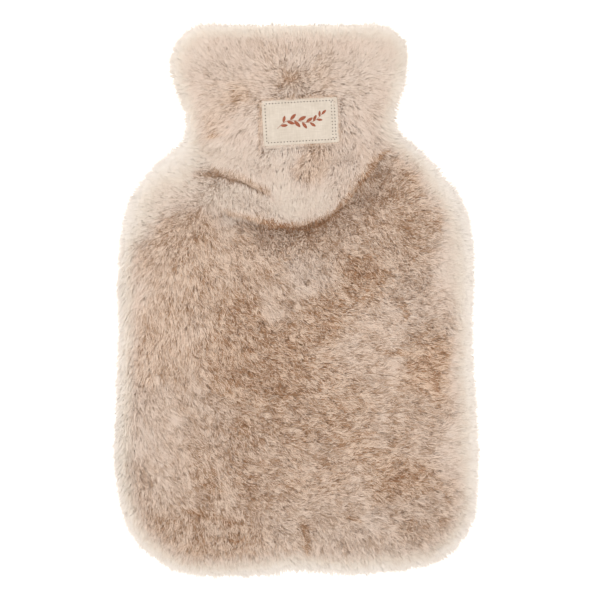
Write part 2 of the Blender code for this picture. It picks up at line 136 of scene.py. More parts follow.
# How the pile is combed: where (x, y), which way it lies (degrees from +X towards +Y), how far over
# (0 stands up, 100 lies down) and the stroke's reach
STROKES = (
    (-50, 160, 125, 55, 22), (-20, 165, 100, 55, 20), (10, 165, 85, 55, 20), (45, 162, 55, 55, 20),
    (-10, 144, 180, 25, 6), (5, 144, 0, 25, 6), (-28, 142, 170, 60, 13), (23, 142, 10, 60, 13),
    (-2, 135, -90, 40, 5), (-52, 130, 200, 60, 16), (48, 128, -20, 60, 16), (-40, 110, 235, 70, 18),
    (42, 108, -65, 70, 18), (5, 90, -95, 60, 16), (0, 72, -90, 60, 12), (-35, 75, -80, 60, 14),
    (30, 82, -110, 60, 12), (-40, 61, -90, 35, 7), (-20, 57, -90, 35, 7), (0, 56, -90, 35, 7),
    (18, 60, -75, 35, 7), (33, 71, -55, 35, 7), (46, 86, -45, 35, 7), (-20, 44, -90, 70, 7),
    (0, 42, -90, 70, 7), (22, 48, -70, 70, 7), (40, 60, -50, 70, 7), (-80, 85, 150, 50, 18),
    (78, 88, 20, 50, 18), (-90, 50, 180, 35, 18), (90, 50, 0, 50, 18), (-85, 10, -92, 75, 30),
    (-85, -30, -85, 75, 26), (-35, 20, -50, 70, 26), (-25, -20, -42, 70, 26), (0, 38, -60, 35, 14),
    (45, 25, -40, 55, 24), (30, -20, -15, 65, 26), (70, -15, -5, 70, 26), (50, -60, 0, 80, 28),
    (85, -70, 3, 80, 26), (-70, -70, -50, 75, 28), (-60, -110, -52, 75, 28), (-10, -70, -15, 70, 26),
    (0, -115, -5, 70, 26), (60, -115, -8, 70, 28), (-80, -150, -100, 50, 20), (-30, -155, -70, 50, 20),
    (30, -155, -60, 50, 20), (80, -150, -40, 50, 20),
)

# Patches: where (x, y), whether the pile shows its brown depth (tone below 0) or its pale tips (above
# 0), whether its locks lie close (ruffle 0) or stand apart (100), and the patch's reach
PATCH_REACH = 1.6
PATCH_FALL = 4
PATCHES = (
    (-71, 165, 45, 10, 12), (-47, 163, 30, 30, 15), (-15, 164, 26, 40, 14), (24, 162, 30, 30, 15),
    (56, 157, 40, 10, 16), (-4, 143, 2, 30, 7), (-2, 155, 38, 20, 8), (-3, 134, 35, 30, 6),
    (18, 145, 18, 30, 8), (-22, 144, 25, 30, 8), (-54, 129, 26, 30, 13), (-40, 132, -5, 50, 6),
    (-46, 121, 15, 40, 7), (-57, 112, 15, 30, 9), (-33, 114, 33, 20, 10), (44, 128, 32, 30, 14),
    (44, 112, 30, 30, 12), (44, 97, 28, 30, 9), (-52, 95, 45, 20, 10), (-11, 94, 45, 20, 9),
    (10, 86, 8, 40, 8), (28, 79, 32, 20, 8), (-26, 89, 38, 20, 8), (-8, 61, 53, 10, 10),
    (18, 66, 48, 10, 9), (-38, 65, 45, 20, 9), (-55, 74, 42, 40, 10), (60, 70, 4, 80, 14),
    (-95, 70, 45, 20, 16), (-78, 92, 75, 10, 12), (104, 70, 60, 10, 13), (106, 45, 50, 10, 11),
    (107, 20, 45, 20, 10), (-70, 41, 6, 60, 14), (-84, 46, 2, 70, 9), (-99, 55, 62, 10, 10),
    (-17, 37, 7, 65, 14), (14, 39, 5, 60, 9), (46, 48, 10, 75, 20), (78, 50, 0, 90, 12),
    (6, 22, 25, 60, 12), (-85, -5, 8, 60, 24), (-101, 5, 42, 25, 9), (-112, -20, 30, 20, 8),
    (-101, -88, 42, 15, 11), (-113, -90, 30, 10, 8), (-33, -12, -10, 90, 12), (-15, -1, 15, 70, 9),
    (18, -7, -5, 90, 9), (42, 18, -20, 90, 8), (79, -4, 22, 80, 12), (76, 6, 15, 130, 5),
    (82, -20, 10, 130, 6), (50, -33, 18, 60, 14), (88, -42, -32, 90, 10), (104, -45, 42, 30, 9),
    (104, -92, 38, 40, 9), (-26, -46, -16, 90, 16), (34, -57, 5, 80, 16), (-86, -80, 22, 60, 20),
    (-50, -81, 12, 90, 14), (-10, -85, 5, 90, 18), (28, -71, -5, 90, 7), (38, -91, 0, 90, 11),
    (72, -80, 15, 80, 18), (69, -110, -15, 90, 10), (-100, -115, 20, 70, 18), (-40, -115, 5, 90, 20),
    (20, -120, 10, 80, 22), (-62, -150, 4, 90, 22), (-76, -125, 22, 70, 12), (0, -150, 20, 70, 20),
    (79, -143, 19, 90, 14), (40, -150, 28, 70, 18),
)
# The pale rim is painted light: a paler tone inside the outline stands in for light through the thin
# fur at the edges, and lifts the darker shading of the sides.
PAINTED_RIM_WIDTH = 16 * MM  # of the band inside the outline that is painted paler
PAINTED_RIM_TONE, RIM_SMOOTHER = 0.9, 0.7
BACK_TONE, BACK_RUFFLE = 0.12, 0.55
NECK_FROM, NECK_TO = 90 * MM, 130 * MM  # between these the painted rim changes to the neck's
NECK_PAINTED_RIM_WIDTH, NECK_PAINTED_RIM = 12 * MM, 0.75  # how wide and how strong it is there
LABEL_PAINTED_SHADOW, LABEL_SHADOW_REACH = 0.3, 1.3 * MM  # painted shadow beside the label: how much darker the pile is painted, and how far out

# Folds: the line along which the pile dips, in how wide a band, how much darker it is painted (painted
# shade in the fold), and how deep
SMILE = (
    (61, 98.5), (57, 95), (50, 88.5), (40.5, 76), (31, 63),
    (21, 54), (11.5, 49.5), (2, 48), (-11, 48.5), (-22, 51),
)
FOLD_OVER = 0.6  # how much of that shows on its high side
FOLD_LIP = 0.8  # how far the pile of the high side reaches over a deep fold
FOLD_TONE, FOLD_SHADE = 0.55, 0.3  # how much of the painted fold shade is a deeper tone, and how much is a shift towards the root colour
FOLD_FADE, FOLD_FADE_SHARE = 9.0, 0.4  # the length, and the most of its own, in which a fold fades out
FOLD_END = 0.2  # how much of it is left at its very end
DEEP_FOLD = 1.1  # how far a deep fold sinks at least
FOLDS = (
    (SMILE, 1.7, 0.98, 1.5),
    (SMILE, 6.0, 0.1, 0.4),
    (((0, 48), (-11, 48.5), (-22, 51), (-36, 54.5), (-52, 59)), 1.9, 0.6, 1.1),
    (((-12, 64), (-22, 71.5), (-33, 77), (-49, 82), (-72, 84)), 3.8, 0.62, 1.4),
    (((-61, 104), (-48, 106)), 1.8, 0.45, 1.0),
    (((-24, 88), (-24, 130)), 1.6, 0.5, 0.6),
    (((92, 70), (93, 38)), 1.8, 0.4, 0.6),
    (((5, -137), (8, -165)), 1.8, 0.6, 0.9),
    (((-35, -77), (-26, -79)), 1.7, 0.85, 0.9),
    (((-72, -133), (-48, -139), (-33, -142)), 1.8, 0.75, 0.9),
    (((-48, -151), (-32, -152)), 1.8, 0.65, 0.8),
    (((-35, -30), (-22, -32)), 1.8, 0.6, 0.7),
    (((55, -30), (64, -33), (76, -32)), 2.0, 0.75, 0.9),
    (((20, -64), (33, -67)), 1.7, 0.75, 0.9),
    (((39, -83), (55, -83)), 1.4, 0.6, 0.7),
    (((88, -42), (91, -54), (90, -66)), 2.4, 0.6, 0.7),
    (((58, -117), (67, -110), (75, -108)), 2.2, 0.6, 0.7),
    (((31, -136), (46, -140)), 1.8, 0.45, 0.7),
    (((30, 18), (40, 17), (54, 14)), 1.8, 0.6, 0.7),
    (((14, -11), (22, -16), (32, -17)), 2.0, 0.6, 0.7),
    (((-5, -22), (12, -25), (30, -26)), 1.4, 0.45, 0.5),
    (((66, 2), (72, -7), (70, -14)), 2.0, 0.6, 0.8),
)


def smooth_step(value):
    value = np.clip(value, 0.0, 1.0)
    return value * value * (3.0 - 2.0 * value)


def smooth_between(value, low, high):
    return smooth_step((value - low) / (high - low))


def unit(vectors):
    return vectors / np.maximum(np.linalg.norm(vectors, axis=-1, keepdims=True), 1e-12)


def across_of(vectors, axes):
    """The part of each vector that is square to its axis."""
    return vectors - axes * (vectors * axes).sum(1)[:, None]


def turned(way, angle):
    cos, sin = np.cos(angle), np.sin(angle)
    return np.stack([way[:, 0] * cos - way[:, 1] * sin, way[:, 0] * sin + way[:, 1] * cos], 1)


def tree_of(places):
    tree = kdtree.KDTree(len(places))
    for index, place in enumerate(places):
        tree.insert(place, index)
    tree.balance()
    return tree


def add_object(name, data):
    made = bpy.data.objects.new(name, data)
    bpy.context.scene.collection.objects.link(made)
    return made


def add_mesh(name, places, faces, finish):
    """An object with a smooth shaded mesh."""
    mesh = bpy.data.meshes.new(name)
    mesh.from_pydata(np.asarray(places).tolist(), [], faces)
    mesh.polygons.foreach_set("use_smooth", np.ones(len(mesh.polygons), bool))
    mesh.materials.append(finish)
    return add_object(name, mesh)


# ---- the solids' outer skin


def read_solid(node):
    """A node's mesh with its doubled points merged: places and triangles."""
    made = bmesh.new()
    made.from_mesh(node.data)
    bmesh.ops.remove_doubles(made, verts=made.verts, dist=1e-6)
    bmesh.ops.triangulate(made, faces=made.faces)
    made.verts.index_update()
    places = np.array([vert.co for vert in made.verts])
    triangles = np.array([[vert.index for vert in face.verts] for face in made.faces])
    made.free()
    return places, triangles


def face_vectors(places, triangles):
    """Each triangle's normal, as long as twice its area."""
    first, second, third = (places[corner] for corner in triangles.T)
    return np.cross(second - first, third - first)


def point_normals(places, triangles):
    normals = np.zeros_like(places)
    across = face_vectors(places, triangles)
    for corner in triangles.T:
        np.add.at(normals, corner, across)
    return unit(normals)


def pouch_axis(places, seam_z):
    """The nearest point of the strip inside the pouch to each place."""
    return np.clip(places, (*AXIS_LEAST, seam_z), (*AXIS_MOST, seam_z))


def outward(places, normals, seam_z):
    """How far each normal points away from the inside of the pouch."""
    return (normals * (places - pouch_axis(places, seam_z))).sum(1)


def largest_patch(parts):
    """The largest connected piece among these triangles or edges."""
    labels = np.arange(parts.max() + 1)
    before = None
    while not np.array_equal(labels, before):
        before = labels.copy()
        np.minimum.at(labels, parts, labels[parts].min(1)[:, None])
    found = labels[parts[:, 0]]
    return parts[found == np.bincount(found).argmax()]


def edges_of(triangles):
    """Every edge once, and whether only one triangle has it."""
    pairs = np.sort(triangles[:, [0, 1, 1, 2, 2, 0]].reshape(-1, 2), axis=1)
    edges, counts = np.unique(pairs, axis=0, return_counts=True)
    return edges, counts == 1


def shortest_edges(places, triangles):
    """The length of the shortest edge at each point."""
    edges, _ = edges_of(triangles)
    lengths = np.linalg.norm(places[edges[:, 0]] - places[edges[:, 1]], axis=1)
    shortest = np.full(len(places), 1.0)
    np.minimum.at(shortest, edges, lengths[:, None])
    return shortest


def relaxed(places, triangles, passes, share, steps=(0.5,)):
    """Points moved towards the middle of their neighbours by each step in turn, times their share.

    A negative step gives back the size that a positive one takes.
    """
    edges, on_rim = edges_of(triangles)
    rim = np.zeros(len(places), bool)
    rim[edges[on_rim]] = True
    pairs = np.concatenate([edges, edges[:, ::-1]])
    pairs = pairs[np.tile(on_rim, 2) | ~rim[pairs[:, 0]]]
    counts = np.bincount(pairs[:, 0], minlength=len(places))
    moving = (share > 0) & (counts > 0)
    places = places.copy()
    for step in list(steps) * passes:
        sums = np.zeros_like(places)
        np.add.at(sums, pairs[:, 0], places[pairs[:, 1]])
        middle = sums[moving] / counts[moving, None]
        places[moving] += step * share[moving, None] * (middle - places[moving])
    return places


class Skin:
    """The outer side of one fur solid, smoothed: where the tips of its pile end."""

    def __init__(self, name, seam_z):
        self.seam_height = seam_z
        self.on_front = name == "front_panel"
        self.solid, self.triangles = read_solid(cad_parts[name])
        facing = unit(face_vectors(self.solid, self.triangles))
        middles = self.solid[self.triangles].mean(1)
        outer = outward(middles, facing, seam_z) > OUTER_LEAST
        outer |= within_label(middles, LABEL_MARGIN) & (middles[:, 2] > LABEL_TOP - LABEL_MARGIN)
        self.faces = largest_patch(self.triangles[outer])
        self.on_skin = np.zeros(len(self.solid), bool)
        self.on_skin[self.faces] = True
        in_bed = self.on_skin & within_label(self.solid, BED_MARGIN)
        places = relaxed(self.solid, self.faces, BED_PASSES, in_bed.astype(float))
        coarse = smooth_between(shortest_edges(self.solid, self.faces), FOLD_EDGE, COARSE_EDGE)
        share = self.on_skin * np.maximum(coarse, in_bed)
        self.places = dipped(relaxed(places, self.faces, SKIN_PASSES, share, SKIN_STEPS))
        self.normals = point_normals(self.places, self.faces)
        self.sizes = np.linalg.norm(face_vectors(self.places, self.faces), axis=1)
        self.area = self.sizes.sum() / 2

    def spots(self, count, draw):
        """Random spots all over the skin, and their normals."""
        share = self.sizes / self.sizes.sum()
        chosen = self.faces[draw.choice(len(self.faces), count, p=share)]
        shares = draw.dirichlet((1.0, 1.0, 1.0), count)[:, :, None]
        spots = (self.places[chosen] * shares).sum(1)
        normals = unit((self.normals[chosen] * shares).sum(1))
        good = outward(spots, normals, self.seam_height) > ROOTED_LEAST
        return spots[good], normals[good]


def surface_of(*skins):
    """The whole cover's outer side, on which the tips of the pile settle."""
    places, faces = [], []
    for skin in skins:
        faces += (skin.faces + len(places)).tolist()
        places += [Vector(place) for place in skin.places]
    return BVHTree.FromPolygons(places, faces)


def settled(surface, places, height):
    """Places moved onto the surface, and out of it by their height."""
    moved = np.empty_like(places)
    for index, place in enumerate(places.tolist()):
        near, normal, _, _ = surface.find_nearest(place)
        moved[index] = near + normal * height[index]
    return moved


# ---- the label's place

LABEL_TURN = math.radians(3.2)
LABEL_WIDTH, LABEL_HEIGHT = 48.5 * MM, 29.2 * MM
LABEL_HALF = np.array([LABEL_WIDTH, LABEL_HEIGHT]) / 2
LABEL_THICKNESS = 1.1 * MM
LABEL_BEND_RADIUS = 150 * MM
label_low, label_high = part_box("label")
LABEL_MIDDLE = (label_low + label_high) / 2
LABEL_TOP = label_high.z
UNDER_LABEL, COVERED_MARGIN = 0.2 * MM, 0.1 * MM  # how far down and out it presses the pile


def on_label(places):
    """Places along and across the label, from its middle."""
    return turned(places[:, :2] - LABEL_MIDDLE.xy, -LABEL_TURN).T


def beside_label(places, reach):
    """The way out of the label from places within reach of its edge, and how far it is (below 0 under
    the label)."""
    off = on_label(places).T
    beyond = np.abs(off) - LABEL_HALF
    outside = np.linalg.norm(np.maximum(beyond, 0), axis=1)
    distance = np.where(outside > 0, outside, beyond.max(1))
    nearest = np.where(beyond >= beyond.max(1)[:, None], 1.0, 0.0)
    way = np.where(outside[:, None] > 0, np.maximum(beyond, 0), nearest) * np.sign(off)
    way = unit(way) * (np.abs(distance) < reach)[:, None]
    return np.column_stack([turned(way, LABEL_TURN), np.zeros(len(way))]), distance


def label_bend(along):
    return along**2 / (2 * LABEL_BEND_RADIUS)


def dipped(places):
    """Places lowered round the label, down to its top."""
    distance = beside_label(places, 0)[1]
    level = LABEL_TOP - label_bend(on_label(places)[0])
    share = 1 - smooth_between(distance, 0, LABEL_DIP)
    share[places[:, 2] < level - LABEL_DIP] = 0
    places = places.copy()
    places[:, 2] += share * np.minimum(level - places[:, 2], 0)
    return places


def within_label(places, margin):
    return (np.abs(on_label(places)) < LABEL_HALF[:, None] + margin).all(0)


# ---- combing


def combed(spots):
    """The way in which the pile lies at each spot, as long as its lie."""
    flat = spots[:, :2] / MM
    total = np.full(len(spots), 1e-6)
    way = np.zeros((len(spots), 2))
    for x, y, angle, lie, reach in STROKES:
        off = np.hypot(flat[:, 0] - x, flat[:, 1] - y)
        share = np.exp(-((off / reach) ** 2))
        turn = math.radians(angle)
        way += share[:, None] * (lie / 100) * np.array([math.cos(turn), math.sin(turn)])
        total += share
    return way / total[:, None]


def patched(spots):
    """The tone and ruffle of the pile at each spot."""
    flat = spots[:, :2] / MM
    total = np.full(len(spots), 1e-3)
    found = np.zeros((2, len(spots)))
    for x, y, tone, ruffle, reach in PATCHES:
        off = np.hypot(flat[:, 0] - x, flat[:, 1] - y)
        share = (1 + (off / (PATCH_REACH * reach)) ** 2) ** -PATCH_FALL
        found += share * np.array([[tone], [ruffle]]) / 100
        total += share
    return found / total


def beside_line(flat, points):
    """How far from a line each place is (below 0 on its left), the line's nearest point, and how full
    the fold is there."""
    points = np.array(points, float)
    passed = np.concatenate([[0], np.cumsum(np.linalg.norm(np.diff(points, axis=0), axis=1))])
    far = np.full(len(flat), 1e3)
    nearest = np.zeros((len(flat), 2))
    reached = np.zeros(len(flat))
    for index, (start, end) in enumerate(zip(points[:-1], points[1:])):
        along = end - start
        share = np.clip(((flat - start) @ along) / (along @ along), 0, 1)
        off = flat - start - share[:, None] * along
        distance = np.linalg.norm(off, axis=1)
        closer = distance < np.abs(far)
        left = along[0] * off[:, 1] - along[1] * off[:, 0] > 0
        far[closer] = np.where(left, -distance, distance)[closer]
        nearest[closer] = (start + share[:, None] * along)[closer]
        reached[closer] = (passed[index] + share * (passed[index + 1] - passed[index]))[closer]
    fade = min(FOLD_FADE, FOLD_FADE_SHARE * passed[-1])
    return far, nearest, smooth_step(np.minimum(reached, passed[-1] - reached) / fade)


def folded(spots, skin):
    """How much darker the pile is painted at each spot, as shade in folds and as a shadow round the
    label, and how much lower it lies in folds, whose low side is on the left.
    """
    # Painted shadow: the pile beside the label's edge is painted darker.
    from_label = np.maximum(beside_label(spots, 0)[1], 0)
    dark = LABEL_PAINTED_SHADOW * np.exp(-((from_label / LABEL_SHADOW_REACH) ** 2))
    dark[spots[:, 2] < LABEL_TOP - LABEL_DIP] = 0
    sink = np.zeros(len(spots))
    # Each fold paints shade into its band, as well as lowering the pile.
    for points, reach, painted_shade, deep in FOLDS if skin.on_front else ():
        far, _, full = beside_line(spots[:, :2] / MM, points)
        near = np.exp(-((far / np.where(far < 0, reach, FOLD_OVER * reach)) ** 2))
        near *= FOLD_END + (1 - FOLD_END) * full
        dark += painted_shade * near
        sink += deep * MM * np.where(far < 0, near, -FOLD_OVER * near)
    return dark, sink


def stopped_at_folds(spots, tips, draw):
    """Tips that would reach over a deep fold from its high side stay at the fold."""
    tips = tips.copy()
    for points in (fold[0] for fold in FOLDS if fold[-1] >= DEEP_FOLD):
        high = beside_line(spots[:, :2] / MM, points)[0] > 0
        far, nearest, full = beside_line(tips[:, :2] / MM, points)
        over = high & (far < 0) & (far > -LIE_LENGTH / MM) & (draw.uniform(0, 1, len(tips)) < full)
        share = FOLD_LIP * draw.uniform(-0.5, 1, len(tips)) / np.maximum(-far, 1e-3)
        stopped = nearest + np.minimum(share, 1)[:, None] * (tips[:, :2] / MM - nearest)
        tips[over, :2] = stopped[over] * MM
    return tips


def toned(spots, skin, outline):
    """The tone and ruffle of the pile at each spot, with its rim paled as painted light."""
    if skin.on_front:
        tone, ruffle = patched(spots)
    else:
        tone, ruffle = np.full(len(spots), BACK_TONE), np.full(len(spots), BACK_RUFFLE)
    inside = np.array([outline.find((x, y, 0))[2] for x, y in spots[:, :2]])
    neck = smooth_between(spots[:, 1], NECK_FROM, NECK_TO)
    # Painted light: the tone turns pale towards the outline, less so at the neck's top.
    rim = 1 - smooth_step(inside / (PAINTED_RIM_WIDTH + neck * (NECK_PAINTED_RIM_WIDTH - PAINTED_RIM_WIDTH)))
    rim *= 1 + neck * (NECK_PAINTED_RIM - 1)
    return tone + rim * (PAINTED_RIM_TONE - tone), ruffle * (1 - RIM_SMOOTHER * rim)


def outline_of(*skins):
    """A tree of the points along the skins' rims, all at height 0."""
    points = []
    for skin in skins:
        edges, on_rim = edges_of(skin.faces)
        ends = skin.places[largest_patch(edges[on_rim])][:, :, :2]
        for share in np.arange(4) / 4:
            points.append(ends[:, 0] + share * (ends[:, 1] - ends[:, 0]))
    points = np.concatenate(points)
    return tree_of(np.column_stack([points, np.zeros(len(points))]))


def at_sides(spots, normals):
    """From 0 where the pile faces front or back, to 1 where it stands out sideways."""
    level = smooth_between(-np.abs(normals[:, 2]), SIDE_FROM, SIDE_TO)
    return level * smooth_between(-spots[:, 2], -SIDE_TOP, -SIDE_TOP + SIDE_TOP_FADE)


def waver(spots, size, seed):
    """Smooth noise from -1 to 1 whose bumps are about this size."""
    shift = Vector((seed * 17.3, seed * 5.1, seed * 9.7))
    return np.array([noise.noise(Vector(spot) / size + shift) for spot in spots])


def with_ruffle(pair, ruffle):
    """What a pair comes to where the pile is ruffled this much."""
    return pair[0] + pair[1] * ruffle


def waves(spots, ruffle, kinds):
    """The sum of these slow changes at each spot."""
    return sum(with_ruffle(pair, ruffle) * waver(spots, size, seed) for size, seed, pair in kinds)


def laid_along(way, normals):
    """Flat directions turned into directions along the skin."""
    return across_of(np.column_stack([way, np.zeros(len(way))]), normals)


# ---- the pile


def gathered(spots, lie, seeds):
    """The seed whose tuft holds each spot: tufts are long along the lie."""
    tree = tree_of(seeds)
    near = np.array([[found[1] for found in tree.find_n(spot, TUFT_CHOICE)] for spot in spots])
    off = spots[:, None] - seeds[near]
    along = (off * unit(lie)[:, None]).sum(2)
    far = (off**2).sum(2) - along**2 * (1 - TUFT_STRETCH**-2)
    return near[np.arange(len(spots)), far.argmin(1)]


def make_locks(skin, outline, draw):
    """The locks of a skin's pile: where each grows, how it lies, its tone and its shade."""
    spots, normals = skin.spots(int(skin.area / LOCK_AREA), draw)
    count = len(spots)
    way = combed(spots)
    side_share = at_sides(spots, normals)
    way += SIDE_SPREAD * side_share[:, None] * normals[:, :2]
    seen = spots + SEEN_AT * LIE_LENGTH * laid_along(way, normals)
    tone, ruffle = toned(seen, skin, outline)
    stir = waves(spots, ruffle, STIR_WAVES)
    tone -= STIR_TONE * ruffle * stir
    ruffle = np.clip(ruffle * (1 + STIR_RUFFLE * stir), 0, RUFFLE_MOST)
    swirl = waves(spots, ruffle, SWIRL_WAVES)
    swirl += with_ruffle(LOCK_SWIRL, ruffle) * draw.standard_normal(count)
    way = turned(way, np.radians(swirl))
    full = with_ruffle(LOCK_LIE, np.minimum(ruffle, 1))
    way *= (full * (1 + waves(spots, ruffle, LIE_WAVES)))[:, None]
    lie = laid_along(way, normals)
    lie[:, 2] -= SIDE_DROP * (1 - np.abs(normals[:, 2]))
    rise = draw.standard_normal(count) + waves(spots, ruffle, RISE_WAVES)
    rise *= with_ruffle(LOCK_RISE, ruffle)
    height = LOCK_HEIGHT * rise
    tone += waves(spots, ruffle, TONE_WAVES)
    shade = with_ruffle(LOCK_SHADE, ruffle) * draw.standard_normal(count) + RISE_PAINTED_SHADE * rise
    shade += waves(spots, ruffle, SHADE_WAVES)
    tips = spots + lie * LIE_LENGTH

    seeds, _ = skin.spots(int(skin.area / TUFT_AREA), draw)
    tuft = gathered(spots, lie, seeds)
    members = np.maximum(np.bincount(tuft, minlength=len(seeds)), 1)[:, None]
    middle = np.zeros_like(seeds)
    np.add.at(middle, tuft, tips)
    loose = TUFT_LEAST + (1 - TUFT_LEAST) * np.minimum(ruffle, 1)
    tips += TUFT_PULL * loose[:, None] * ((middle / members)[tuft] - tips)
    loose *= 1 - SIDE_CALM * side_share
    shade += loose * TUFT_SHADE * draw.standard_normal(len(seeds))[tuft]
    height += loose * TUFT_HEIGHT * draw.standard_normal(len(seeds))[tuft]
    lie = (tips - spots) / LIE_LENGTH
    return dict(spots=spots, lie=lie, height=height, tone=tone, shade=shade, ruffle=ruffle, tips=tips)


def make_blades(skin, surface, locks, count, draw):
    """Every blade's points (root, two half way, tip), corners, normal, tone, shade and ruffle."""
    spots, normals = skin.spots(count, draw)
    count = len(spots)
    tree = tree_of(locks["spots"])
    lock = np.array([tree.find(spot)[1] for spot in spots])
    ruffle = locks["ruffle"][lock]
    smooth = 1 - np.minimum(ruffle, 1)
    apart = APART_LEAST + ruffle
    side_share = at_sides(spots, normals)

    lie = across_of(locks["lie"][lock], normals)
    lie += (LIE_SPREAD * apart)[:, None] * draw.standard_normal((count, 3))
    way_out, distance = beside_label(spots, LABEL_MARGIN)
    beside = np.any(way_out != 0, axis=1) & skin.on_front
    leaning = beside & (distance > 0) & (draw.uniform(0, 1, count) < LEANING_SHARE)
    lie[leaning] -= LEANING * way_out[leaning]
    from_under = beside & (distance <= 0)
    lie[from_under] = (way_out * ((LABEL_CLEAR - distance) / LIE_LENGTH)[:, None])[from_under]
    length = LIE_LENGTH * (1 + LENGTH_SPREAD * draw.standard_normal(count))
    tips = spots + lie * (length * (1 - SIDE_SHORTER * side_share))[:, None]
    pull = with_ruffle(LOCK_PULL, ruffle) * (1 - SIDE_CALM * side_share)
    pull *= draw.uniform(PULL_LEAST, 1.0, count)
    tips += pull[:, None] * (locks["tips"][lock] - tips)
    if skin.on_front:
        tips = stopped_at_folds(spots, tips, draw)

    dark, sink = folded(tips, skin)
    height = locks["height"][lock] - sink + TIP_SPREAD * apart * draw.standard_normal(count)
    wisp = np.minimum(WISP_LENGTH * draw.exponential(1.0, count), WISP_MOST)
    height += side_share * (wisp - WISP_START + waves(spots, 0, WISP_WAVES))
    way_out, inside = beside_label(tips, LABEL_HEIGHT)
    over_label = (distance > 0) & (inside < 0) & (tips[:, 2] > LABEL_TOP - LABEL_MARGIN)
    inward = LABEL_OVERLAP * draw.uniform(0, 1, count)
    tips[over_label] -= (way_out * (inside + inward)[:, None])[over_label]
    tips = settled(surface, tips, height)
    fluff = LABEL_FLUFF * draw.uniform(FLUFF_LEAST, 1, count)
    on_top = over_label | from_under
    tips[on_top, 2] = (LABEL_TOP - label_bend(on_label(tips)[0]) + fluff)[on_top]
    roots = spots - normals * (PILE_DEPTH * draw.uniform(*ROOT_DEPTH, count))[:, None]
    middles = roots + MIDDLE_AT * (tips - roots) + normals * MIDDLE_RISE
    middles += (TIP_SPREAD * apart)[:, None] * draw.standard_normal((count, 3))

    along = unit(tips - roots)
    side = np.cross(along, normals) + TILT_SPREAD * draw.standard_normal((count, 3))
    side = unit(across_of(side, along))
    twist = TWIST_SPREAD * draw.standard_normal(count)[:, None]
    side = side * np.cos(twist) + np.cross(along, side) * np.sin(twist)
    width = BLADE_WIDTH * (1 + SMOOTH_WIDER * smooth) * (1 - SIDE_NARROWER * side_share)
    half = side * (width / 2 * draw.uniform(*WIDTH_SPREAD, count))[:, None]
    # Painted shade of folds and painted shadow round the label darken the blades' colour.
    tone = locks["tone"][lock] - FOLD_TONE * dark
    shade = locks["shade"][lock] - FOLD_SHADE * dark
    shade += with_ruffle(BLADE_SHADE, 1 - smooth) * draw.standard_normal(count)
    points = np.stack([roots, middles - half, middles + half, tips], 1)
    under = LABEL_TOP - LABEL_THICKNESS - UNDER_LABEL - label_bend(on_label(spots)[0])
    for index in range(BLADE_POINTS):
        covered = within_label(points[:, index], COVERED_MARGIN) & (distance <= 0)
        points[covered, index, 2] = np.minimum(points[covered, index, 2], under[covered])
    points[:, :, 2] = np.maximum(points[:, :, 2], LOWEST)

    corners, facing = faced(points, normals)
    steep = 1 - smooth_between((facing * normals).sum(1), STEEP_FROM, STEEP_TO)
    soft = (SOFT_NORMAL * (1 - RUFFLED_LESS * (1 - smooth)) * (1 - steep))[:, None]
    shading = unit(soft * normals + (1 - soft) * facing)
    return points, corners, shading, tone, shade, ruffle


def faced(points, normals):
    """Each blade's corners, turned to face out of the skin, and which way it faces."""
    facing = np.zeros_like(normals)
    corners = np.empty((len(points), 2, 3), int)
    for half_blade, around in enumerate(BLADE_CORNERS):
        first, second, third = (points[:, corner] for corner in around)
        across = unit(np.cross(second - first, third - first))
        turned_in = (across * normals).sum(1) < 0
        across[turned_in] *= -1
        facing += across
        corners[:, half_blade] = np.where(turned_in[:, None], around[::-1], around)
    return corners, unit(facing)


BLADE_CORNERS = np.array([[0, 2, 1], [1, 2, 3]])  # from the root to half way, and on to the tip
BLADE_POINTS = 4
BLADE_ALONG = np.array([0.15, 0.5, 0.5, 0.86])
BLADE_ACROSS = np.array([0, -1, 1, 0])
TONE_WIDTH = 0.004  # half a blade's width on the map
MAP_EDGE = 0.02  # of the map, left free


def blade_mesh(name, points, corners, shading, tone, shade, ruffle, finish):
    """One mesh of many blades, whose map has their tone in U, and in V the way from root to tip, with
    their shade added."""
    count = len(points)
    corners = corners.reshape(count, 6)
    mesh = bpy.data.meshes.new(name)
    mesh.vertices.add(BLADE_POINTS * count)
    mesh.vertices.foreach_set("co", points.reshape(-1).astype(np.float32))
    first = BLADE_POINTS * np.arange(count)[:, None]
    mesh.loops.add(6 * count)
    mesh.loops.foreach_set("vertex_index", (first + corners).ravel().astype(np.int32))
    mesh.polygons.add(2 * count)
    mesh.polygons.foreach_set("loop_start", (3 * np.arange(2 * count)).astype(np.int32))
    mesh.update(calc_edges=True)
    mesh.polygons.foreach_set("use_smooth", np.ones(2 * count, bool))

    level = np.clip(0.5 + 0.5 * tone, MAP_EDGE, 1 - MAP_EDGE)[:, None]
    across = level + TONE_WIDTH * BLADE_ACROSS[corners]
    # Paler roots in smooth pile: partly the pile's own colour, partly painted light in the gaps
    # between blades.
    lift = SMOOTH_LIFT * (1 - np.minimum(ruffle, 1))[:, None]
    along = BLADE_ALONG + lift * (BLADE_ALONG.max() - BLADE_ALONG)
    up = np.take_along_axis(along, corners, 1) + shade[:, None]
    up = np.clip(up, MAP_EDGE, 1 - MAP_EDGE)
    layer = mesh.uv_layers.new(name="OFBake")
    layer.data.foreach_set("uv", np.stack([across, up], 2).ravel().astype(np.float32))
    mesh.normals_split_custom_set_from_vertices(np.repeat(shading, BLADE_POINTS, axis=0))
    mesh.materials.append(finish)
    return add_object(name, mesh)


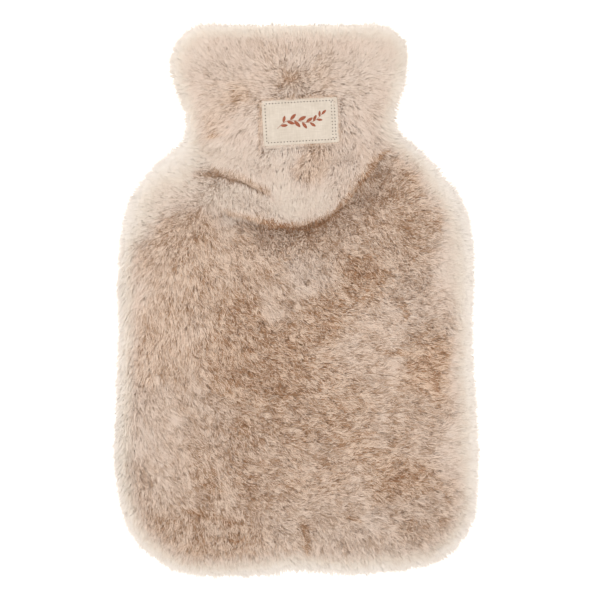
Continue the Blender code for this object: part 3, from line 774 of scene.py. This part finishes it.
def backing(name, skin, outline, finish):
    """The cloth that the pile stands on: the solid, its outer side drawn in by the pile's depth."""
    tree = BVHTree.FromPolygons([Vector(place) for place in skin.solid], skin.triangles.tolist())
    places = skin.solid.copy()
    away = unit(skin.places - pouch_axis(skin.places, skin.seam_height))
    outer = (skin.normals * away).sum(1) > 0.2
    normals = np.where(outer[:, None], skin.normals, away)
    for index in np.flatnonzero(skin.on_skin):
        inward = -Vector(normals[index])
        start = Vector(skin.places[index])
        hit = tree.ray_cast(start + inward * BACKING_START, inward)[3]
        depth = min(PILE_DEPTH, BACKING_SHARE * (BACKING_START + hit)) if hit else PILE_DEPTH
        places[index] = start + inward * depth
    flat = np.abs(skin.solid[:, 2] - skin.seam_height) < 1e-5
    places[flat, 2] = skin.solid[flat, 2]
    piece = add_mesh(name, places, skin.triangles.tolist(), finish)
    # The backing's tone carries the painted light of the pale rim, and the painted shade of folds and
    # round the label.
    tone = toned(skin.places, skin, outline)[0] - folded(skin.places, skin)[0]
    colours = piece.data.color_attributes.new("tone", "FLOAT_COLOR", "POINT")
    colours.data.foreach_set("color", np.repeat(np.clip(0.5 + 0.5 * tone, 0, 1), 4))
    rounding = piece.modifiers.new("rounding", "SUBSURF")
    rounding.levels = 1
    rounding.render_levels = 1
    return piece


# ---- the label

LABEL_CORNER = 1.2 * MM
LABEL_EDGE = 0.5 * MM  # radius of the fold at its edges
LABEL_INSETS = (0, 0.12, 0.3, 0.55, 0.9, 1.4, 2.0, 2.4, 2.7, 3.0, 3.5)  # of rows of points, in mm
LABEL_PITCH = 1.0 * MM  # of the points farther in
LABEL_WAVE, LABEL_WAVE_SIZE = 0.12 * MM, 9 * MM
HEM_FROM, HEM_TO, HEM_THICKNESS = 3.0 * MM, 4.0 * MM, 0.14 * MM  # the turned hem's inner end
STITCH_INSET = 2.2 * MM
STITCH_DIP, STITCH_DIP_WIDTH = 0.16 * MM, 0.45 * MM  # how the stitches draw the cloth down
STITCH_PITCH, STITCH_LENGTH, STITCH_WIDTH = 2.0 * MM, 0.95 * MM, 0.75 * MM
STITCH_SPREAD = (0.85, 1.1)  # of its length, from least to most
STITCH_TURN = 0.12  # how far from straight one lies, in radians
STITCH_ROWS = 1.9 * MM  # between the two rows at the right end
THREAD_CROWN, THREAD_SINK = 0.16 * MM, 0.05 * MM  # how far thread stands out and lies in
DOME_RING = (0.6, 0.8)  # how wide and how high the ring is between a dome's outline and its top
LABEL_ORIGIN = Vector((LABEL_MIDDLE.x, LABEL_MIDDLE.y, LABEL_TOP - LABEL_THICKNESS))
LABEL_MATRIX = Matrix.Translation(LABEL_ORIGIN) @ Matrix.Rotation(LABEL_TURN, 4, "Z")


def label_edge(along, across):
    """How far in from the label's edge each place is, and how full its fold is there."""
    inset = (LABEL_HALF - np.abs(np.stack([along, across], 1))).min(1)
    return inset, np.sqrt(1 - (1 - np.clip(inset / LABEL_EDGE, 0, 1)) ** 2)


def label_face(along, across):
    """Height of the label's face, with its folded edge, stitches, hem and slight waves."""
    inset, fold = label_edge(along, across)
    rise = LABEL_THICKNESS / 2 * (1 + fold)
    rise -= STITCH_DIP * np.exp(-(((inset - STITCH_INSET) / STITCH_DIP_WIDTH) ** 2))
    rise -= HEM_THICKNESS * smooth_between(inset, HEM_FROM, HEM_TO)
    bumps = waver(np.stack([along, across, 0 * along], 1), LABEL_WAVE_SIZE, 7)
    rise += LABEL_WAVE * bumps * smooth_between(inset, LABEL_EDGE, HEM_FROM)
    return rise - label_bend(along)


def label_rows(length):
    """Places of the rows of points across one of the label's sizes."""
    edge = length / 2 - np.array(LABEL_INSETS) * MM
    inner = np.linspace(-edge[-1], edge[-1], int(round(2 * edge[-1] / LABEL_PITCH)) + 1)
    return np.concatenate([-edge[:-1], inner, edge[-2::-1]])


def add_piece(name, places, faces, finish):
    """A smooth shaded piece in the label's own frame."""
    piece = add_mesh(name, places, faces, finish)
    piece.matrix_world = LABEL_MATRIX
    return piece


def label_piece(finish):
    """The label's cloth: closed, its corners rounded, its edges folded under."""
    rows_x, rows_y = label_rows(LABEL_WIDTH), label_rows(LABEL_HEIGHT)
    across, along = np.meshgrid(rows_y, rows_x, indexing="ij")
    index = np.arange(along.size).reshape(along.shape)
    along, across = along.ravel(), across.ravel()
    flat = np.stack([along, across], 1)
    straight = LABEL_HALF - LABEL_CORNER
    beyond = np.maximum(np.abs(flat) - straight, 0)
    beyond *= (beyond.max(1) / np.maximum(np.linalg.norm(beyond, axis=1), 1e-9))[:, None]
    rounded = np.sign(flat) * (np.minimum(np.abs(flat), straight) + beyond)
    top = np.column_stack([rounded, label_face(along, across)])
    inset, fold = label_edge(along, across)
    under = top.copy()
    under[:, 2] = LABEL_THICKNESS / 2 * (1 - fold) - label_bend(along)
    on_rim = inset < 1e-9
    lower = np.where(on_rim, np.arange(len(top)), 0)
    lower[~on_rim] = len(top) + np.arange((~on_rim).sum())
    rings = [index[:-1, :-1], index[:-1, 1:], index[1:, 1:], index[1:, :-1]]
    rings = np.stack(rings, -1).reshape(-1, 4)
    faces = np.stack([rings, lower[rings[:, ::-1]]], 1).reshape(-1, 4).tolist()
    return add_piece("label_weave", np.concatenate([top, under[~on_rim]]), faces, finish)


def add_dome(places, faces, outline, crown):
    """A low dome on the label's face: its outline, a ring above it, and its top."""
    middle = outline.mean(0)
    count = len(outline)
    start = len(places)
    narrow, high = DOME_RING
    flat = np.concatenate([outline, middle + narrow * (outline - middle), [middle]])
    lift = np.repeat([-THREAD_SINK, high * crown, crown], [count, count, 1])
    places += np.column_stack([flat, label_face(*flat.T) + lift]).tolist()
    for index in range(count):
        outer, outer_next = start + index, start + (index + 1) % count
        faces.append([outer, outer_next, outer_next + count, outer + count])
        faces.append([outer + count, outer_next + count, start + 2 * count])


def oval(x, y, turn, long, wide, points, sharp=1.0):
    """An oval's outline. A sharpness above 1 draws its ends out to points."""
    angles = 2 * math.pi * np.arange(points) / points
    along = long / 2 * np.cos(angles)
    across = wide / 2 * np.sign(np.sin(angles)) * np.abs(np.sin(angles)) ** sharp
    cos, sin = math.cos(turn), math.sin(turn)
    return np.stack([x + along * cos - across * sin, y + along * sin + across * cos], 1)


def stitches(finish):
    """The stitches inside the label's edge: a row all round, and a second at its right end."""
    half_x, half_y = LABEL_WIDTH / 2 - STITCH_INSET, LABEL_HEIGHT / 2 - STITCH_INSET
    places, faces = [], []
    rows = [(half_x, half_y, 0.0, (-1, 1)), (half_y, half_x, math.pi / 2, (-1, 1))]
    rows.append((half_y, half_x - STITCH_ROWS, math.pi / 2, (1,)))
    for length, other, turn, ends in rows:
        count = int(2 * length / STITCH_PITCH)
        for place in (np.arange(count) + 0.5) * (2 * length / count) - length:
            for side in ends:
                x, y = (place, side * other) if turn == 0 else (side * other, place)
                wobble = STITCH_TURN * draw.standard_normal()
                long = STITCH_LENGTH * draw.uniform(*STITCH_SPREAD)
                one = oval(x, y, turn + wobble, long, STITCH_WIDTH, 8)
                add_dome(places, faces, one, THREAD_CROWN)
    return add_piece("label_stitches", places, faces, finish)


# The sprig worked on the label, in mm: leaves on a stem, and one at its end
SPRIG_FROM, SPRIG_TO = (-14.5, -3.4), (13.5, 3.6)
SPRIG_BOW = 2.6  # how far the stem swings to either side
STEM_STITCHES, STEM_LONG, STEM_WIDE, STEM_CROWN = 34, 1.25, 0.42, 0.1
SPRIG_LEAVES = 6  # on each side
LEAF_FROM, LEAF_OVER, LEAF_STEP = 0.1, 0.8, 0.04  # shares of the stem: first, to last, in a pair
LEAF_LONG, LEAF_WIDE, LEAF_SHRINK = 6.4, 2.7, 0.35
LEAF_SPREAD = math.radians(40)
LEAF_OUT = 0.52  # how far out a leaf's middle is, as a share of its length
LEAF_POINT = 1.5  # how sharp its ends are
END_LONG, END_WIDE, END_OUT = 4.6, 1.9, 2.2


def stem_place(share):
    """A point on the sprig's stem and the stem's direction there, in mm."""
    start, end = np.array(SPRIG_FROM), np.array(SPRIG_TO)
    straight = end - start
    across = np.array([-straight[1], straight[0]]) / np.hypot(*straight)
    place = start + share * straight + across * SPRIG_BOW * math.sin(2 * math.pi * share)
    way = straight + across * SPRIG_BOW * 2 * math.pi * math.cos(2 * math.pi * share)
    return place, math.atan2(way[1], way[0])


def sprig(finish):
    """The sprig: short stitches along its stem, and raised leaves."""
    places, faces = [], []
    for share in np.linspace(0.0, 1.0, STEM_STITCHES):
        (x, y), turn = stem_place(share)
        one = oval(x * MM, y * MM, turn, STEM_LONG * MM, STEM_WIDE * MM, 8)
        add_dome(places, faces, one, STEM_CROWN * MM)
    leaves = []
    for index in range(SPRIG_LEAVES):
        share = LEAF_FROM + LEAF_OVER * index / (SPRIG_LEAVES - 1)
        size = 1.0 - LEAF_SHRINK * abs(2 * share - LEAF_OVER)
        for side in (-1, 1):
            long, wide = LEAF_LONG * size, LEAF_WIDE * size
            leaves.append((share + LEAF_STEP * side, side * LEAF_SPREAD, long, wide, LEAF_OUT * long))
    leaves.append((1.0, 0.0, END_LONG, END_WIDE, END_OUT))
    for share, spread, long, wide, out in leaves:
        (x, y), turn = stem_place(share)
        turn += spread
        x += out * math.cos(turn)
        y += out * math.sin(turn)
        leaf = oval(x * MM, y * MM, turn, long * MM, wide * MM, 16, LEAF_POINT)
        add_dome(places, faces, leaf, THREAD_CROWN)
    return add_piece("label_sprig", places, faces, finish)


# ---- materials


def new_material(name, roughness):
    """A material, its node tree and its shader's inputs."""
    made = bpy.data.materials.new(name)
    made.use_nodes = True
    inputs = made.node_tree.nodes["Principled BSDF"].inputs
    inputs["Roughness"].default_value = roughness
    inputs["Specular IOR Level"].default_value = 0.12
    return made, made.node_tree, inputs


def connect(tree, value, socket):
    """Links a socket to another, or sets it to a value."""
    if isinstance(value, bpy.types.NodeSocket):
        tree.links.new(value, socket)
    else:
        socket.default_value = value


def add_node(tree, kind, **inputs):
    node = tree.nodes.new("ShaderNode" + kind)
    for name, value in inputs.items():
        connect(tree, value, node.inputs[name])
    return node


def ramp(tree, factor, stops):
    node = add_node(tree, "ValToRGB", Fac=factor)
    points = node.color_ramp.elements
    for index, (place, colour) in enumerate(stops):
        point = points[index] if index < 2 else points.new(place)
        point.position = place
        point.color = (*colour, 1.0)
    return node.outputs["Color"]


MIX_INPUTS, MIX_OUTPUT = (0, 6, 7), 2  # the sockets of a mix of colours


def mixed(tree, factor, first, second, way="MIX"):
    node = add_node(tree, "Mix")
    node.data_type = "RGBA"
    node.blend_type = way
    for index, value in zip(MIX_INPUTS, (factor, first, second)):
        connect(tree, value, node.inputs[index])
    return node.outputs[MIX_OUTPUT]


def noise_texture(tree, scale, detail, stretch=(1, 1, 1)):
    place = add_node(tree, "TexCoord").outputs["Object"]
    mapping = add_node(tree, "Mapping", Vector=place, Scale=stretch)
    texture = add_node(tree, "TexNoise", Vector=mapping.outputs["Vector"], Scale=scale, Detail=detail)
    return texture.outputs["Fac"]


def add_bump(tree, inputs, height, strength, distance):
    bump = add_node(tree, "Bump", Strength=strength, Distance=distance, Height=height)
    tree.links.new(bump.outputs["Normal"], inputs["Normal"])


# Colours of the pile at its roots and at its tips: where on the scale of tone, and the two colours
PILE_COLOURS = (
    (0.0, (0.37, 0.16, 0.07), (0.84, 0.59, 0.4)),
    (0.5, (0.47, 0.27, 0.15), (0.865, 0.68, 0.53)),
    (0.65, (0.61, 0.46, 0.35), (0.855, 0.71, 0.6)),
    (0.8, (0.74, 0.61, 0.5), (0.875, 0.77, 0.66)),
    (1.0, (0.88, 0.785, 0.69), (0.94, 0.87, 0.8)),
)
LABEL_COLOURS = ((0.3, (0.68, 0.59, 0.49)), (0.7, (0.75, 0.66, 0.56)))
STITCH_COLOURS = (0.05, 0.035, 0.028), (0.11, 0.085, 0.07)
RUST_COLOURS = (0.26, 0.075, 0.04), (0.37, 0.125, 0.07)
WEAVE_PITCH = 0.5 * MM
TONE_LIFT = 0.5  # how much nearer the root a paler blade's tip colour begins
TIP_FROM, TIP_TO = 0.58, 1.36  # where it begins on the sum of that and the length, and is full
UNDER_COLOURS = ((0.2, (0.58, 0.34, 0.2)), (0.55, (0.74, 0.52, 0.37)), (0.85, (0.9, 0.8, 0.7)))
UNDER_GRAIN = ((0.35, (0.75, 0.7, 0.66)), (0.65, (1.0, 1.0, 1.0)))


def pile_material():
    """Brown at the root and pale at the tip, from the blades' own map."""
    made, tree, inputs = new_material("pile", 0.75)
    where = add_node(tree, "UVMap")
    where.uv_map = "OFBake"
    split = add_node(tree, "SeparateXYZ", Vector=where.outputs["UV"])
    tone, along = split.outputs["X"], split.outputs["Y"]
    root = ramp(tree, tone, [(place, colour) for place, colour, _ in PILE_COLOURS])
    tip = ramp(tree, tone, [(place, colour) for place, _, colour in PILE_COLOURS])
    lifted = add_node(tree, "Math")
    lifted.operation = "MULTIPLY_ADD"
    for socket, value in zip(lifted.inputs, (tone, TONE_LIFT, along)):
        connect(tree, value, socket)
    rise = ramp(tree, lifted.outputs["Value"], ((TIP_FROM, (0, 0, 0)), (TIP_TO, (1, 1, 1))))
    tree.links.new(mixed(tree, rise, root, tip), inputs["Base Color"])
    inputs["Sheen Weight"].default_value = 0.1
    inputs["Sheen Roughness"].default_value = 0.5
    return made


def backing_material():
    """The short under-pile, which shows between the locks and inside the mouth."""
    made, tree, inputs = new_material("under_pile", 0.9)
    tone = add_node(tree, "Attribute")
    tone.attribute_name = "tone"
    grain = noise_texture(tree, 900.0, 3.0)
    deep = ramp(tree, tone.outputs["Fac"], UNDER_COLOURS)
    colour = mixed(tree, 1.0, deep, ramp(tree, grain, UNDER_GRAIN), "MULTIPLY")
    tree.links.new(colour, inputs["Base Color"])
    add_bump(tree, inputs, grain, 0.8, 0.4 * MM)
    return made


def label_material():
    """Cream plain weave of uneven threads, a little darker between them."""
    made, tree, inputs = new_material("label_cloth", 0.85)
    place = add_node(tree, "TexCoord").outputs["Object"]
    heights = []
    for direction, stretch in (("X", (1, 0.06, 1)), ("Y", (0.06, 1, 1))):
        scale = math.pi / (10 * WEAVE_PITCH)
        threads = add_node(tree, "TexWave", Vector=place, Scale=scale, Distortion=0.0)
        threads.bands_direction = direction
        slub = noise_texture(tree, 2200.0, 2.0, stretch)
        grey = ramp(tree, slub, ((0.3, (0, 0, 0)), (0.7, (1, 1, 1))))
        heights.append(mixed(tree, 0.55, threads.outputs["Color"], grey))
    weave = mixed(tree, 1.0, *heights, "MULTIPLY")
    clouds = noise_texture(tree, 120.0, 3.0)
    cloth = ramp(tree, clouds, LABEL_COLOURS)
    threads = ramp(tree, weave, ((0.0, (0.8, 0.78, 0.76)), (0.6, (1.0, 1.0, 1.0))))
    tree.links.new(mixed(tree, 1.0, cloth, threads, "MULTIPLY"), inputs["Base Color"])
    add_bump(tree, inputs, weave, 0.6, 0.08 * MM)
    return made


def thread_material(name, dark, light):
    """Thread with fine strands."""
    made, tree, inputs = new_material(name, 0.6)
    strands = noise_texture(tree, 1800.0, 2.0, (0.35, 1, 1))
    tree.links.new(ramp(tree, strands, ((0.35, dark), (0.65, light))), inputs["Base Color"])
    add_bump(tree, inputs, strands, 0.5, 0.06 * MM)
    return made


# ---- the light, the floor and the camera

PHOTO_PIXELS = 600
PHOTO_SCALE = 0.64 * MM  # of one pixel of the photograph, at the height of the seam
PHOTO_MIDDLE = Vector((2.0 * MM, 2.3 * MM, 0.026))
CAMERA_HEIGHT = 4.0
FLOOR_GLOW = 0.7  # the cover lies on a lit white table
FLOOR_CORNERS = ((-3, -3, 0), (3, -3, 0), (3, 3, 0), (-3, 3, 0))
SKY = 0.96


def add_light(name, place, size, power):
    data = bpy.data.lights.new(name, "AREA")
    data.shape = "SQUARE"
    data.size = size
    data.energy = power
    light = add_object(name, data)
    light.location = place
    light.rotation_euler = (-Vector(place)).to_track_quat("-Z", "Y").to_euler()


def light_scene():
    add_light("overhead", (-0.21, 0.12, 1.6), 1.0, 7.4)
    add_light("from_top", (-0.2, 1.6, 0.7), 1.2, 1.2)
    world = bpy.data.worlds.new("studio")
    world.use_nodes = True
    sky = world.node_tree.nodes["Background"].inputs
    sky["Color"].default_value = (1, 1, 1, 1)
    sky["Strength"].default_value = SKY
    bpy.context.scene.world = world
    bpy.context.scene.view_settings.view_transform = "Standard"


def add_floor():
    made, tree, inputs = new_material("floor", 0.9)
    paper = noise_texture(tree, 8.0, 2.0)
    shade = ramp(tree, paper, ((0.3, (0.93, 0.93, 0.93)), (0.7, (0.95, 0.95, 0.95))))
    tree.links.new(shade, inputs["Base Color"])
    inputs["Emission Color"].default_value = (1, 1, 1, 1)
    inputs["Emission Strength"].default_value = FLOOR_GLOW
    add_mesh("floor", FLOOR_CORNERS, [(0, 1, 2, 3)], made)


def add_camera():
    data = bpy.data.cameras.new("camera")
    above = CAMERA_HEIGHT - PHOTO_MIDDLE.z
    data.lens = data.sensor_width * above / (PHOTO_PIXELS * PHOTO_SCALE)
    camera = add_object("camera", data)
    camera.location = (PHOTO_MIDDLE.x, PHOTO_MIDDLE.y, CAMERA_HEIGHT)
    bpy.context.scene.camera = camera


# ---- putting it together

light_scene()
add_floor()
add_camera()

draw = np.random.default_rng(SEED)
front_skin = Skin("front_panel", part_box("front_panel")[0].z)
back_skin = Skin("back_panel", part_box("back_panel")[1].z)
surface = surface_of(front_skin, back_skin)
outline = outline_of(front_skin, back_skin)
pile = pile_material()
under = backing_material()

front_cloth = backing("front_backing", front_skin, outline, under)
back_cloth = backing("back_backing", back_skin, outline, under)


def grow(name, skin, count):
    """The pile on one skin, in pieces from the bottom end to the mouth."""
    locks = make_locks(skin, outline, draw)
    blades = make_blades(skin, surface, locks, count, draw)
    order = np.argsort(blades[0][:, -1, 1])
    parts = math.ceil(len(order) / MOST_IN_PIECE)
    grown = []
    for index, chosen in enumerate(np.array_split(order, parts)):
        part = [values[chosen] for values in blades]
        grown.append(blade_mesh(f"{name}_{index + 1}", *part, pile))
    return grown


front_pile = grow("front_pile", front_skin, BLADES_FRONT)
back_pile = grow("back_pile", back_skin, BLADES_BACK)

label = label_piece(label_material())
label_work = [
    stitches(thread_material("stitch_thread", *STITCH_COLOURS)),
    sprig(thread_material("sprig_thread", *RUST_COLOURS)),
]
for piece in [label, *label_work]:
    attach(piece, "root")
    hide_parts("label")

for piece in [front_cloth, back_cloth, *front_pile, *back_pile]:
    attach(piece, "root")
for piece in [front_cloth, *front_pile]:
    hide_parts("front_panel")
for piece in [back_cloth, *back_pile]:
    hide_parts("back_panel")
